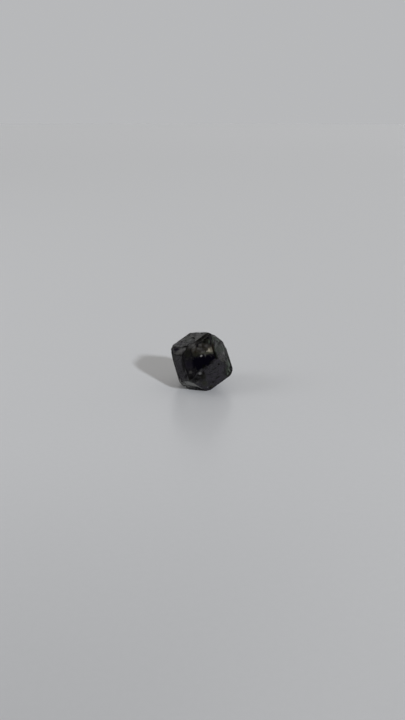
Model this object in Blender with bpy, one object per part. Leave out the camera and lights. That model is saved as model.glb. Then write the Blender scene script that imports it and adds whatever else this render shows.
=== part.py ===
"""Rough garnet: one dark crystal that stands on the level break at its foot.

The crystal is a rhombic dodecahedron whose edges are cut by narrow trapezohedron faces. It is
cleaved out of a cube, one named plane at a time, in the crystal's own axes, then leaned over
and broken off level at its foot, where a low ledge of the root is left at the front. Thin growth
plates lie on its faces, and pits, chips and scooped breaks are cut into them.

Sizes are written in millimetres and turned into metres by MM.
"""

import itertools
import math

import bmesh
import bpy
from mathutils import Matrix, Vector

MM = 0.001
COLLECTION_NAME = "rough_garnet"
HELPER_COLLECTION_NAME = "rough_garnet_forms"
CRYSTAL_NAME = "garnet_crystal"

# How the crystal stands: its four-fold axis leans away from the vertical.
LEAN = math.radians(22.5)
LEAN_TOWARDS = math.radians(-46.5)
SPIN_ABOUT_AXIS = math.radians(-8.3)
CENTRE_ABOVE_GROUND = 6.36

# The block that the crystal is cleaved from reaches well outside every face.
ROUGH_BLOCK_SIDE = 30.0
PLANE_TOLERANCE = 1e-7

# Twelve rhombic faces: direction in crystal axes, and distance from the crystal's centre.
RHOMB_FACES = {
    "top_left": ((-1, 0, 1), 6.80),
    "top_front": ((0, -1, 1), 7.45),
    "top_right": ((1, 0, 1), 6.55),
    "top_back": ((0, 1, 1), 6.58),
    "side_left": ((-1, -1, 0), 7.04),
    "side_front": ((1, -1, 0), 6.00),
    "side_right": ((1, 1, 0), 5.55),
    "side_back": ((-1, 1, 0), 6.23),
    "foot_left": ((-1, 0, -1), 7.48),
    "foot_front": ((0, -1, -1), 6.60),
    "foot_right": ((1, 0, -1), 6.45),
    "foot_back": ((0, 1, -1), 6.50),
}

# Twenty-four narrow faces along the edges: most lie at one distance, some grew nearer or farther.
EDGE_FACE_DISTANCE = 7.52
OTHER_EDGE_FACES = {
    (-2, -1, -1): 6.13,
    (-2, -1, 1): 7.39,
    (-2, 1, 1): 7.18,
    (-2, 1, -1): 7.60,
    (-1, -2, 1): 7.58,
    (-1, -2, -1): 7.78,
    (-1, -1, 2): 7.92,
    (-1, 1, 2): 7.24,
    (-1, 2, 1): 7.05,
    (-1, 2, -1): 7.10,
    (1, -2, 1): 7.61,
    (1, -2, -1): 7.44,
    (1, -1, 2): 7.81,
    (1, -1, -2): 7.25,
    (1, 1, 2): 7.31,
    (1, 1, -2): 6.75,
    (1, 2, 1): 6.90,
    (1, 2, -1): 6.70,
    (2, 1, -1): 6.75,
    (2, -1, -1): 7.10,
}

# Corners that are worn blunt: direction in crystal axes, and distance from the centre.
BLUNT_CORNERS = {
    "corner_left": ((-1.0, 0.1, 0.2), 7.94),
    "corner_top": ((0.0, 0.6, 1.0), 7.40),
    "corner_top_right": ((1.0, 0.6, 1.0), 7.22),
    "corner_right": ((1.0, 0.15, 0.3), 7.90),
}

# Rubbed edges.
WORN_EDGE_WIDTH = 0.05
WORN_EDGE_SEGMENTS = 2
WORN_EDGE_ANGLE = math.radians(12.0)

# Growth plates: the face they lie on, how far they rise, how far in from the face's edges they
# stop, and how far they are shifted along the crystal axes.
GROWTH_PLATES = (
    ("top_left", 0.05, 0.50, (0.05, -0.15, 0.05)),
    ("top_left", 0.10, 1.00, (0.35, -0.55, 0.35)),
    ("top_right", 0.05, 0.55, (-0.18, -0.36, 0.18)),
    ("top_right", 0.10, 1.00, (-0.32, -0.64, 0.32)),
    ("top_back", 0.07, 0.55, (0.30, 0.00, 0.00)),
    ("top_back", 0.15, 1.00, (-0.60, 0.00, 0.00)),
    ("side_front", 0.05, 0.55, (-0.18, -0.18, 0.36)),
    ("side_front", 0.10, 1.00, (-0.36, -0.36, 0.72)),
    ("side_left", 0.05, 0.45, (0.30, -0.30, 0.00)),
    ("side_right", 0.08, 0.55, (-0.20, 0.20, 0.20)),
    ("side_right", 0.16, 1.00, (0.45, -0.45, 0.30)),
    ("side_back", 0.08, 0.65, (0.10, 0.10, -0.20)),
    ("side_back", 0.15, 1.10, (-0.30, -0.30, 0.70)),
    ("foot_left", 0.08, 0.80, (0.00, 0.30, 0.00)),
    ("foot_right", 0.08, 0.90, (0.00, 0.20, 0.00)),
    ("foot_back", 0.08, 0.80, (0.20, 0.00, 0.00)),
)
PLATE_GROUND_CLEARANCE = 0.80

# The ledge of broken root at the front of the foot: its outline on the ground, and its height.
LEDGE_OUTLINE = (
    (-3.6, -1.0),
    (-3.3, -2.0),
    (-2.8, -2.6),
    (-1.9, -2.9),
    (-1.1, -3.2),
    (0.0, -3.4),
    (0.7, -3.6),
    (1.4, -3.6),
    (1.5, -1.0),
)
LEDGE_HEIGHT = 1.20
LEDGE_TOP_SPREAD = 1.03

# Four-sided pits: the face, the place on it along its level and rising directions, the width.
PITS = (
    ("top_left", (1.30, 1.10), 0.50),
    ("top_left", (-1.90, -0.90), 0.30),
    ("top_front", (0.10, -1.40), 0.35),
    ("top_right", (1.40, -1.20), 0.40),
    ("top_right", (-1.20, 1.60), 0.30),
    ("top_back", (0.90, 0.50), 0.60),
    ("top_back", (-1.60, -0.80), 0.40),
    ("side_front", (-1.60, 0.60), 0.40),
    ("side_front", (1.50, -0.50), 0.35),
    ("side_left", (0.60, 0.90), 0.35),
    ("side_right", (-0.90, 0.80), 0.55),
    ("side_right", (1.70, -0.40), 0.40),
    ("side_back", (0.70, -0.90), 0.55),
    ("side_back", (-1.40, 0.90), 0.35),
)
PIT_DEPTH_PER_WIDTH = 0.32
PIT_TIP_PER_WIDTH = 0.15
PIT_LIP = 0.35

# Scooped breaks at corners and edges: direction from the centre, radius of the scoop, and how
# far it bites in from the crystal's surface.
CHIPS = (
    ((0.10, 0.20, 1.00), 3.2, 0.34),
    ((1.00, 2.00, 0.80), 4.8, 0.26),
    ((1.00, 1.00, 1.00), 2.6, 0.34),
    ((-1.00, 1.00, 1.00), 3.4, 0.30),
    ((0.10, 1.00, 0.10), 4.4, 0.50),
    ((-1.00, 0.15, 0.05), 3.6, 0.26),
    ((1.00, 1.00, -1.00), 3.2, 0.36),
    ((-1.00, 1.00, -1.00), 3.6, 0.42),
    ((-1.00, -1.00, -1.10), 2.4, 0.14),
    ((-0.05, -1.00, 0.02), 2.2, 0.10),
    ((-1.00, 2.00, 1.00), 5.0, 0.24),
    ((1.00, -0.25, 0.20), 2.2, 0.08),
)
CHIP_SUBDIVISIONS = 4

# Dark, nearly black glassy stone.
STONE_COLOUR = (0.018, 0.014, 0.014, 1.0)
STONE_ROUGHNESS = 0.12
STONE_IOR = 1.8


def remove_every_object():
    """Empty the scene."""
    for item in list(bpy.data.objects):
        bpy.data.objects.remove(item, do_unlink=True)


def new_collection(name):
    """Add a collection to the scene."""
    collection = bpy.data.collections.new(name)
    bpy.context.scene.collection.children.link(collection)
    return collection


def standing_rotation():
    """Turn from the crystal's own axes to the way it stands."""
    towards = Matrix.Rotation(LEAN_TOWARDS, 3, "Z")
    lean = Matrix.Rotation(LEAN, 3, "Y")
    spin = Matrix.Rotation(SPIN_ABOUT_AXIS - LEAN_TOWARDS, 3, "Z")
    return towards @ lean @ spin


def edge_face_indices():
    """The trapezohedron faces: one index is 2, the others are 1."""
    for indices in itertools.product((-2, -1, 1, 2), repeat=3):
        if sorted(abs(index) for index in indices) == [1, 1, 2]:
            yield indices


def crystal_planes():
    """Every face of the standing crystal: outward direction and distance from the centre."""
    turn = standing_rotation()
    planes = {}
    for name, (indices, distance) in RHOMB_FACES.items():
        planes[name] = (turn @ Vector(indices).normalized(), distance)
    for indices in edge_face_indices():
        distance = OTHER_EDGE_FACES.get(indices, EDGE_FACE_DISTANCE)
        planes[indices] = (turn @ Vector(indices).normalized(), distance)
    for name, (towards, distance) in BLUNT_CORNERS.items():
        planes[name] = (turn @ Vector(towards).normalized(), distance)
    return planes


def cleave(mesh, outward, spot):
    """Split off what lies beyond one plane, and close the cut."""
    cut = bmesh.ops.bisect_plane(
        mesh,
        geom=mesh.verts[:] + mesh.edges[:] + mesh.faces[:],
        dist=PLANE_TOLERANCE,
        plane_co=spot,
        plane_no=outward,
        clear_outer=True,
    )
    rim = [item for item in cut["geom_cut"] if isinstance(item, bmesh.types.BMEdge)]
    if rim:
        bmesh.ops.edgenet_fill(mesh, edges=rim)


def cleaved_block(planes, centre, ground):
    """A closed block inside all the planes, cut off level at the ground."""
    mesh = bmesh.new()
    bmesh.ops.create_cube(mesh, size=ROUGH_BLOCK_SIDE * MM)
    for outward, distance in planes.values():
        cleave(mesh, outward, centre + outward * distance * MM)
    cleave(mesh, Vector((0.0, 0.0, -1.0)), Vector((0.0, 0.0, ground * MM)))
    bmesh.ops.recalc_face_normals(mesh, faces=mesh.faces[:])
    return mesh


def wear_edges(mesh):
    """Rub every edge down to a narrow rounded strip."""
    edges = [edge for edge in mesh.edges if edge.calc_face_angle(0.0) > WORN_EDGE_ANGLE]
    bmesh.ops.bevel(
        mesh,
        geom=edges,
        affect="EDGES",
        offset_type="OFFSET",
        offset=WORN_EDGE_WIDTH * MM,
        segments=WORN_EDGE_SEGMENTS,
        profile=0.5,
        clamp_overlap=True,
    )


def object_from(mesh, name, collection):
    """Store a working mesh as an object."""
    data = bpy.data.meshes.new(name)
    mesh.to_mesh(data)
    mesh.free()
    item = bpy.data.objects.new(name, data)
    collection.objects.link(item)
    return item


def helper_from(mesh, name, collection):
    """Store a working mesh as a form that is only joined to the crystal or cut from it."""
    item = object_from(mesh, name, collection)
    item.hide_render = True
    item.display_type = "WIRE"
    return item


def growth_plate(planes, number, plate, collection):
    """A thin raised layer: the crystal again, drawn in on every side but one."""
    face_name, rise, inset, shift = plate
    layer = {}
    for name, (outward, distance) in planes.items():
        change = rise if name == face_name else -inset
        layer[name] = (outward, distance + change)
    centre = standing_rotation() @ Vector(shift) * MM
    centre -= centre.project(planes[face_name][0])
    mesh = cleaved_block(layer, centre, PLATE_GROUND_CLEARANCE - CENTRE_ABOVE_GROUND)
    return helper_from(mesh, f"growth_plate_{number:02d}", collection)


def foot_ledge(collection):
    """The low ledge of broken root that juts out under the front of the crystal."""
    mesh = bmesh.new()
    low = [mesh.verts.new(Vector((x, y, -CENTRE_ABOVE_GROUND)) * MM) for x, y in LEDGE_OUTLINE]
    top = LEDGE_HEIGHT - CENTRE_ABOVE_GROUND
    high = [mesh.verts.new(Vector((x * LEDGE_TOP_SPREAD, y * LEDGE_TOP_SPREAD, top)) * MM)
            for x, y in LEDGE_OUTLINE]
    bmesh.ops.convex_hull(mesh, input=low + high)
    bmesh.ops.recalc_face_normals(mesh, faces=mesh.faces[:])
    return helper_from(mesh, "foot_ledge", collection)


def face_frame(outward):
    """Two directions that lie in a face: a level one and a rising one."""
    level = Vector((0.0, 0.0, 1.0)).cross(outward).normalized()
    return level, outward.cross(level)


def highest_plate(face_name):
    """How far the growth plates raise a face."""
    rises = [rise for name, rise, _inset, _shift in GROWTH_PLATES if name == face_name]
    return max(rises, default=0.0)


def pit_cutter(planes, number, pit, collection):
    """A blunt four-sided point that is pressed into a face."""
    face_name, (along, up), width = pit
    outward, distance = planes[face_name]
    level, rising = face_frame(outward)
    depth = width * PIT_DEPTH_PER_WIDTH
    height = depth + PIT_LIP
    mesh = bmesh.new()
    bmesh.ops.create_cone(
        mesh,
        cap_ends=True,
        segments=4,
        radius1=PIT_TIP_PER_WIDTH * width * MM,
        radius2=0.5 * width * height / depth * MM,
        depth=height * MM,
    )
    middle = distance + highest_plate(face_name) + PIT_LIP - height / 2
    spot = (outward * middle + level * along + rising * up) * MM
    axes = Matrix((level, rising, outward)).transposed().to_4x4()
    mesh.transform(Matrix.Translation(spot) @ axes)
    return helper_from(mesh, f"pit_{number:02d}", collection)


def reach_along(planes, direction):
    """Distance from the centre to the crystal's surface in one direction."""
    reaches = []
    for outward, distance in planes.values():
        closing = outward.dot(direction)
        if closing > PLANE_TOLERANCE:
            reaches.append(distance / closing)
    return min(reaches)


def chip_cutter(planes, number, chip, collection):
    """A ball that scoops a shell-shaped break out of an edge or a corner."""
    towards, radius, bite = chip
    direction = standing_rotation() @ Vector(towards).normalized()
    middle = reach_along(planes, direction) - bite + radius
    mesh = bmesh.new()
    bmesh.ops.create_icosphere(mesh, subdivisions=CHIP_SUBDIVISIONS, radius=radius * MM)
    mesh.transform(Matrix.Translation(direction * middle * MM))
    return helper_from(mesh, f"chip_{number:02d}", collection)


def combine(crystal, form, operation):
    """Join a form to the crystal, or cut it away."""
    step = crystal.modifiers.new(f"{operation.lower()}_{form.name}", "BOOLEAN")
    step.operation = operation
    step.solver = "EXACT"
    step.object = form


def stone_material():
    """Dark glassy stone."""
    material = bpy.data.materials.new("garnet_stone")
    material.use_nodes = True
    shader = material.node_tree.nodes["Principled BSDF"]
    shader.inputs["Base Color"].default_value = STONE_COLOUR
    shader.inputs["Roughness"].default_value = STONE_ROUGHNESS
    shader.inputs["Metallic"].default_value = 0.0
    shader.inputs["IOR"].default_value = STONE_IOR
    return material


def stand_over_origin(crystal, helpers):
    """Move everything so that the ground is at zero and the outline is centred over it."""
    bpy.context.view_layer.update()
    finished = crystal.evaluated_get(bpy.context.evaluated_depsgraph_get())
    corners = [Vector(corner) for corner in finished.bound_box]
    lowest = [min(corner[axis] for corner in corners) for axis in range(3)]
    highest = [max(corner[axis] for corner in corners) for axis in range(3)]
    middle_x = (lowest[0] + highest[0]) / 2
    middle_y = (lowest[1] + highest[1]) / 2
    for item in [crystal] + helpers:
        item.location = (-middle_x, -middle_y, CENTRE_ABOVE_GROUND * MM)


def build_crystal():
    """The whole crystal, as one solid."""
    collection = new_collection(COLLECTION_NAME)
    forms = new_collection(HELPER_COLLECTION_NAME)
    planes = crystal_planes()
    mesh = cleaved_block(planes, Vector((0.0, 0.0, 0.0)), -CENTRE_ABOVE_GROUND)
    wear_edges(mesh)
    crystal = object_from(mesh, CRYSTAL_NAME, collection)
    crystal.data.materials.append(stone_material())
    added = [growth_plate(planes, number, plate, forms)
             for number, plate in enumerate(GROWTH_PLATES, start=1)]
    added.append(foot_ledge(forms))
    cut = [pit_cutter(planes, number, pit, forms) for number, pit in enumerate(PITS, start=1)]
    cut += [chip_cutter(planes, number, chip, forms)
            for number, chip in enumerate(CHIPS, start=1)]
    for form in added:
        combine(crystal, form, "UNION")
    for form in cut:
        combine(crystal, form, "DIFFERENCE")
    stand_over_origin(crystal, added + cut)


remove_every_object()
build_crystal()
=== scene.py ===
"""Rough garnet: the dressed crystal, its stage and its camera, laid out as an add-on."""

import itertools
import math

import bmesh
import bpy
import numpy as np
from mathutils import Matrix, Vector, noise
from mathutils.geometry import delaunay_2d_cdt


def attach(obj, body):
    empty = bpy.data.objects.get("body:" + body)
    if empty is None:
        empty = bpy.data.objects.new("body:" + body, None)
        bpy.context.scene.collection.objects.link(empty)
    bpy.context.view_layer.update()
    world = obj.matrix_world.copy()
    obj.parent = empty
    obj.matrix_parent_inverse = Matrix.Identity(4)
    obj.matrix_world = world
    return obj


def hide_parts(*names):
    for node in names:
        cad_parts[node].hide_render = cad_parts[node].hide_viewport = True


bl_info = {
    "name": "Rough Garnet",
    "version": (1, 0, 0),
    "blender": (4, 5, 0),
    "location": "View3D > Sidebar > Garnet",
    "description": "Builds a rough garnet crystal and a pale studio stage around it",
    "category": "Add Mesh",
}

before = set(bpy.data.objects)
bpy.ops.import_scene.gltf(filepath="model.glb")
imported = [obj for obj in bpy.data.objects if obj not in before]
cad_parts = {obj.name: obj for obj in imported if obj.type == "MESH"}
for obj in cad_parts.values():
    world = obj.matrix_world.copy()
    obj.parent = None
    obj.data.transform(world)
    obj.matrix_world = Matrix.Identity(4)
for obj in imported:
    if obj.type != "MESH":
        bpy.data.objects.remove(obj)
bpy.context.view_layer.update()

# The crystal is shaped in millimetres, in its own place, and scaled to metres at the end.
MM = 0.001
CRYSTAL_NODE = "garnet_crystal"
CRYSTAL_PIECE = "garnet_crystal_dressed"

# How the crystal stands: its four-fold axis leans away from the vertical.
LEAN = math.radians(22.5)
LEAN_TOWARDS = math.radians(-46.5)
SPIN_ABOUT_AXIS = math.radians(-8.3)
CRYSTAL_CENTRE = Vector((-0.294, 0.357, 6.360))
ROUGH_BLOCK_SIDE = 30.0

# Amounts too small to matter.
PLANE_TOLERANCE = 1e-5
GROUND_TOLERANCE = 0.01
SMALLEST_SQUARE = 1e-6
SMALLEST_LENGTH = 1e-12

# Twelve rhombic faces: direction in crystal axes, and distance from the crystal's centre.
RHOMB_FACES = {
    "top_left": ((-1, 0, 1), 6.80),
    "top_front": ((0, -1, 1), 7.45),
    "top_right": ((1, 0, 1), 6.55),
    "top_back": ((0, 1, 1), 6.58),
    "side_left": ((-1, -1, 0), 7.04),
    "side_front": ((1, -1, 0), 6.00),
    "side_right": ((1, 1, 0), 5.55),
    "side_back": ((-1, 1, 0), 6.23),
    "foot_left": ((-1, 0, -1), 7.48),
    "foot_front": ((0, -1, -1), 6.60),
    "foot_right": ((1, 0, -1), 6.45),
    "foot_back": ((0, 1, -1), 6.50),
}

# Twenty-four narrow faces along the edges: a few lie at one distance, the others grew nearer or
# farther.
EDGE_FACE_DISTANCE = 7.52
OTHER_EDGE_FACES = {
    (-2, -1, -1): 6.13,
    (-2, -1, 1): 7.39,
    (-2, 1, 1): 7.18,
    (-2, 1, -1): 7.60,
    (-1, -2, 1): 7.58,
    (-1, -2, -1): 7.78,
    (-1, -1, 2): 7.92,
    (-1, 1, 2): 7.24,
    (-1, 2, 1): 7.05,
    (-1, 2, -1): 7.10,
    (1, -2, 1): 7.61,
    (1, -2, -1): 7.44,
    (1, -1, 2): 7.81,
    (1, -1, -2): 7.25,
    (1, 1, 2): 7.31,
    (1, 1, -2): 6.75,
    (1, 2, 1): 6.90,
    (1, 2, -1): 6.70,
    (2, 1, -1): 6.75,
    (2, -1, -1): 7.10,
}

# Corners that are worn blunt: direction in crystal axes, and distance from the centre.
BLUNT_CORNERS = {
    "corner_left": ((-1.0, 0.1, 0.2), 7.94),
    "corner_top": ((0.0, 0.6, 1.0), 7.40),
    "corner_top_right": ((1.0, 0.6, 1.0), 7.22),
    "corner_right": ((1.0, 0.15, 0.3), 7.90),
}

WORN_EDGE_SEGMENTS = 3
WORN_EDGE_PROFILE = 0.5
WORN_EDGE_ANGLE = math.radians(12.0)

# Growth plates: the face they lie on, how far they rise, how far in from the face's edges they
# stop, and how far they are shifted along the crystal axes.
GROWTH_PLATES = (
    ("top_left", 0.05, 0.50, (0.05, -0.15, 0.05)),
    ("top_left", 0.10, 1.00, (0.35, -0.55, 0.35)),
    ("top_right", 0.05, 0.55, (-0.18, -0.36, 0.18)),
    ("top_right", 0.10, 1.00, (-0.32, -0.64, 0.32)),
    ("top_back", 0.07, 0.55, (0.30, 0.00, 0.00)),
    ("top_back", 0.15, 1.00, (-0.60, 0.00, 0.00)),
    ("side_front", 0.05, 0.55, (-0.18, -0.18, 0.36)),
    ("side_front", 0.10, 1.00, (-0.36, -0.36, 0.72)),
    ("side_left", 0.05, 0.45, (0.30, -0.30, 0.00)),
    ("side_right", 0.08, 0.55, (-0.20, 0.20, 0.20)),
    ("side_right", 0.16, 1.00, (0.45, -0.45, 0.30)),
    ("side_back", 0.08, 0.65, (0.10, 0.10, -0.20)),
    ("side_back", 0.15, 1.10, (-0.30, -0.30, 0.70)),
    ("foot_left", 0.08, 0.80, (0.00, 0.30, 0.00)),
    ("foot_right", 0.08, 0.90, (0.00, 0.20, 0.00)),
    ("foot_back", 0.08, 0.80, (0.20, 0.00, 0.00)),
)
PLATE_GROUND_CLEARANCE = 0.80

# The ledge of broken stone at the front of the foot: its outline on the ground, and its height.
LEDGE_OUTLINE = (
    (-3.6, -1.0),
    (-3.3, -2.0),
    (-2.8, -2.6),
    (-1.9, -2.9),
    (-1.1, -3.2),
    (0.0, -3.4),
    (0.7, -3.6),
    (1.4, -3.6),
    (1.5, -1.0),
)
LEDGE_HEIGHT = 1.20
LEDGE_TOP_SPREAD = 1.03
LEDGE_PLACE = Vector((CRYSTAL_CENTRE.x, CRYSTAL_CENTRE.y, 0.0))

# Scooped breaks at corners and edges: direction from the centre, radius of the scoop, and how
# far it bites in from the crystal's surface.
CHIPS = (
    ((0.10, 0.20, 1.00), 3.2, 0.34),
    ((1.00, 2.00, 0.80), 4.8, 0.26),
    ((1.00, 1.00, 1.00), 2.6, 0.34),
    ((-1.00, 1.00, 1.00), 3.4, 0.30),
    ((0.10, 1.00, 0.10), 4.4, 0.50),
    ((-1.00, 0.15, 0.05), 3.6, 0.26),
    ((1.00, 1.00, -1.00), 3.2, 0.36),
    ((-1.00, 1.00, -1.00), 3.6, 0.42),
    ((-1.00, -1.00, -1.10), 2.4, 0.14),
    ((-0.05, -1.00, 0.02), 2.2, 0.10),
    ((-1.00, 2.00, 1.00), 5.0, 0.24),
    ((1.00, -0.25, 0.20), 2.2, 0.08),
)
CHIP_SUBDIVISIONS = 5
CHIP_SURFACE_TOLERANCE = 0.03

# How fine the mesh is: along creases, beside them, and on open faces.
CREASE_SPACING = 0.085
OPEN_SPACING = 0.145
CREASE_REACH = 0.17
CREASE_ANGLE = math.radians(4.0)
BORDER_GAP = 0.55
GRID_JITTER = 0.12
SHARP_ANGLE = math.radians(28.0)

# Fine shape of the surface: swells, ripples in the chips, pits, nicks and splinters. A layer of
# noise has a frequency, a height and a seed. Wear is full close to an edge and ends farther off.
SURFACE_SEED = 7
NOISE_SEED_STEP = (17.3, 5.1, 9.7)
FACE_WAVES = ((0.45, 0.014, 1), (1.4, 0.005, 2))
WAVE_MARGIN = 0.5
RIPPLE_LENGTH = 0.42
RIPPLE_HEIGHT = 0.010
RIPPLE_SWELL = 2.0
RIPPLE_WOBBLE = 0.25
RIPPLE_WOBBLE_FREQUENCY = 0.8
RIPPLE_FIRST_SEED = 3
PIT_COUNT = 260
PIT_MARGIN = 0.2
PIT_SIZES = (0.10, 0.32)
PIT_SHAPES = (0.6, 1.0)
PIT_STEEPNESS = (0.06, 0.16)
NICK_COUNT = 60
NICK_MARGIN = 0.03
NICK_SIZE_ROOTS = (0.30, 0.60)
NICK_STEEPNESS = (0.12, 0.3)
WEAR_REACH = (0.06, 0.34)
LEDGE_SPLINTERS = ((2.2, 0.07, 11), (5.5, 0.035, 12))

# Corners rubbed blunt: the place, the way it points, the hollow's radius and its depth.
RUBBED_CORNERS = (
    ((-7.35, -0.02, 10.25), (-0.89, 0.14, 0.43), 1.8, 0.30),
    ((-5.15, -0.60, 0.75), (-0.67, -0.23, -0.71), 2.4, 0.45),
)

# Painted reflection of the lit floor on the broken foot: the shares of the ledge's height at which
# it starts and is full, and a ragged patch that spreads from the ledge onto the foot's corner.
LEDGE_PAINTED_REFLECTION_SPAN = (0.40, 0.85)
PAINTED_REFLECTION_CORNER = (-4.5, -1.6, 1.1)
PAINTED_REFLECTION_REACH = (0.9, 1.7)
PAINTED_REFLECTION_EDGE = ((0.9, 0.9, 13), (2.6, 0.45, 14))

# The stone's finish: clean stone, and a thin weathered skin that lies over it in places. A
# cloudy pattern has a frequency in 1/mm, a detail and a roughness, and a span says between which
# of its values something begins and is full.
CLEAN_IOR = 1.60
SKIN_ROUGHNESS = 0.5
CLOUDS = (0.9, 4.0, 0.6)
GRAIN = (1.5, 2.5, 0.6)
SPECKS = (8.0, 2.0, 0.6)
PORES = (14.0, 3.0, 0.6)
GRAIN_SPAN = (0.40, 0.62)
FILM_SPAN = (0.35, 0.70)
SKIN_SPAN = (0.38, 0.66)
SKIN_FROM_CLOUDS = 0.55
SKIN_FROM_GRAIN = 0.40
# How strongly the painted reflection of the lit floor shows on the foot.
PAINTED_REFLECTION_STRENGTH = 0.9
EDGE_SPAN = (0.3, 0.6)
EDGE_SKIN = 0.85
EDGE_SKIN_LEAST = 0.15
ROUGHNESS_SPAN = (0.4, 0.75)
ROUGHNESS_FROM_GRAIN = 0.06
ROUGHNESS_FROM_BREAK = 0.04
BUMP_DISTANCE = 0.02
BUMP_FROM_GRAIN = 0.35
BUMP_FROM_SPECKS = 0.25
BUMP_FROM_PORES = 0.10

# Tones of the weathered skin, and of painted light.
TONES = {
    "black": (0.0016, 0.0013, 0.0034),
    "pitch": (0.0020, 0.0020, 0.0016),
    "soot": (0.0050, 0.0044, 0.0042),
    "slate": (0.0110, 0.0130, 0.0160),
    "plum": (0.0110, 0.0090, 0.0150),
    "lilac": (0.0360, 0.0310, 0.0410),
    "dark brown": (0.0120, 0.0095, 0.0065),
    "brown": (0.0290, 0.0260, 0.0210),
    "dark olive": (0.0125, 0.0130, 0.0085),
    "olive": (0.0240, 0.0250, 0.0160),
    "light olive": (0.0500, 0.0520, 0.0380),
    "moss": (0.0420, 0.0500, 0.0400),
    "pale moss": (0.0850, 0.0980, 0.0840),
    "grey": (0.0600, 0.0580, 0.0560),
    "pale grey": (0.1300, 0.1280, 0.1260),
    # The next four tones are painted light: two for light seen through the stone, one for the lit
    # floor's reflection on the foot, and one for a glint.
    "tan": (0.1250, 0.1130, 0.0870),
    "bright tan": (0.2900, 0.2650, 0.2150),
    "painted_floor_reflection": (0.2600, 0.2600, 0.2500),
    "white": (0.2400, 0.2350, 0.2300),
}

# The outlines of marks drift a little, and are ragged and grainy along a speckle of noise.
MARK_DRIFT = 0.20
MARK_DRIFT_FREQUENCY = 1.6
MARK_DRIFT_SEEDS = (21, 22, 23)
MARK_SPECKLE = ((2.4, 1.0, 24), (4.8, 0.6, 25))
MARK_GRAIN_SPAN = (-0.3, 0.3)
MARK_RAGGEDNESS = 0.30
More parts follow.
